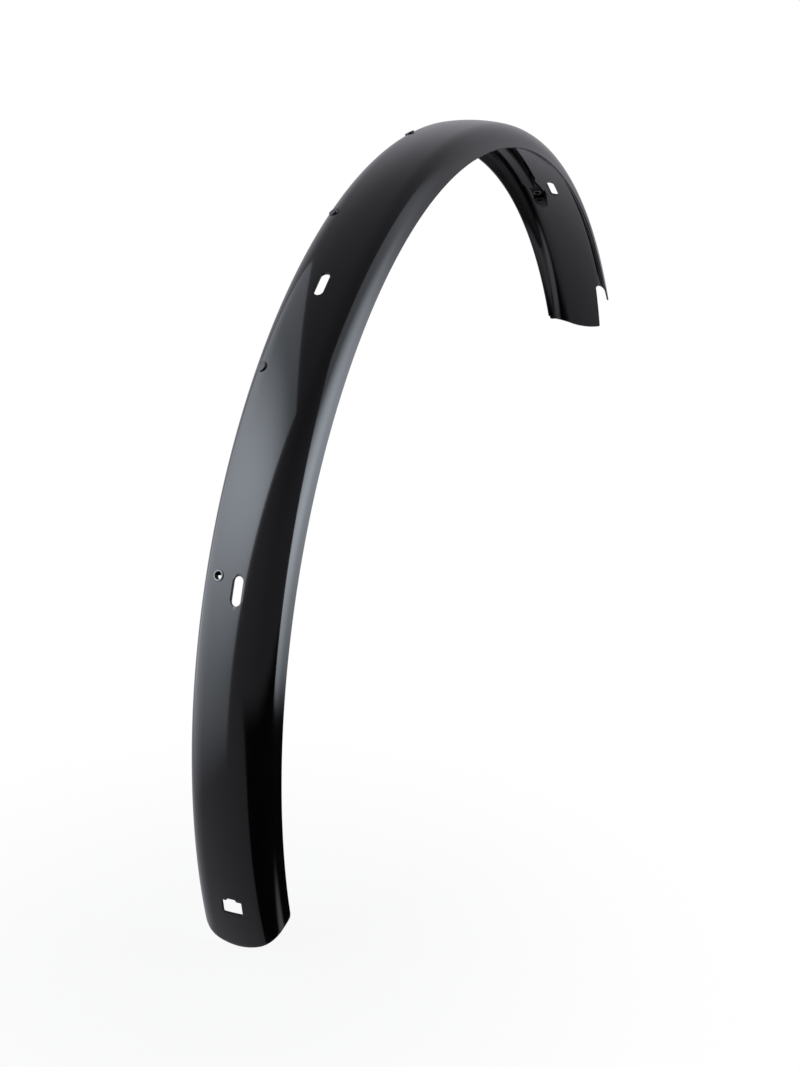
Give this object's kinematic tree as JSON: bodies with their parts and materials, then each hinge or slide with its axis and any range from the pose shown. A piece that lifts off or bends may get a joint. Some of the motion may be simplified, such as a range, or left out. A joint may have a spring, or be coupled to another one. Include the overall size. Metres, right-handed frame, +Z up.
{
  "type": "bicycle mudguard",
  "caption": "Long gloss black rear mudguard of channel section with oval ends, bolt slots, a light hole, a corner cut-out and a riveted inner cable duct.",
  "frame": {"origin": "centre of the bridge slot, on the outside of the crown", "axes": "+X forward, +Y to the bicycle's left, +Z up; the wheel's axle runs along Y, 364 mm from the origin"},
  "size_m": [0.6933, 0.0578, 0.4588],
  "materials": {
    "shell": "gloss black",
    "duct": "satin black",
    "rivet": "black coated"
  },
  "bodies": {
    "root": {"mudguard_shell": "shell", "cable_duct": "duct", "front_end_clip": "duct", "rear_end_clip": "duct", "solid_rivet_1": "rivet", "solid_rivet_2": "rivet", "solid_rivet_3": "rivet", "hollow_rivet_front": "rivet", "hollow_rivet_rear": "rivet"}
  },
  "joints": []
}
